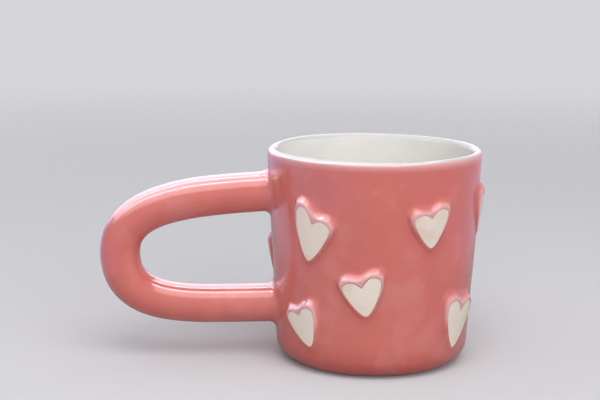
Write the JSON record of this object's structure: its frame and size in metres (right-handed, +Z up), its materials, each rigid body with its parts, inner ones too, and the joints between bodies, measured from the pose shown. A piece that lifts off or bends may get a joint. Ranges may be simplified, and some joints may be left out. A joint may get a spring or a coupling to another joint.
{
  "type": "mug",
  "caption": "Glazed ceramic mug with a thick loop handle, a cream inside and rim, and raised cream hearts on a glossy coral pink wall; holds a hot drink.",
  "frame": {"origin": "centre of the bare foot, on the surface that the mug stands on", "axes": "+Z up along the mug's axis, the handle points along -X, so X is the longest side"},
  "size_m": [0.154, 0.0868, 0.0856],
  "materials": {
    "pink_glaze": "gloss",
    "cream_glaze": "gloss",
    "white_glaze": "gloss",
    "bare_clay": "matte"
  },
  "bodies": {
    "root": {"wall": "pink_glaze", "base_slab": "bare_clay", "liner_glaze": "white_glaze", "handle": "pink_glaze", "raised_heart_01": "pink_glaze", "cream_heart_01": "cream_glaze", "raised_heart_02": "pink_glaze", "cream_heart_02": "cream_glaze", "raised_heart_03": "pink_glaze", "cream_heart_03": "cream_glaze", "raised_heart_04": "pink_glaze", "cream_heart_04": "cream_glaze", "raised_heart_05": "pink_glaze", "cream_heart_05": "cream_glaze", "raised_heart_06": "pink_glaze", "cream_heart_06": "cream_glaze", "raised_heart_07": "pink_glaze", "cream_heart_07": "cream_glaze", "raised_heart_08": "pink_glaze", "cream_heart_08": "cream_glaze", "raised_heart_09": "pink_glaze", "cream_heart_09": "cream_glaze", "raised_heart_10": "pink_glaze", "cream_heart_10": "cream_glaze", "raised_heart_11": "pink_glaze", "cream_heart_11": "cream_glaze", "raised_heart_12": "pink_glaze", "cream_heart_12": "cream_glaze", "raised_heart_13": "pink_glaze", "cream_heart_13": "cream_glaze"}
  },
  "joints": []
}
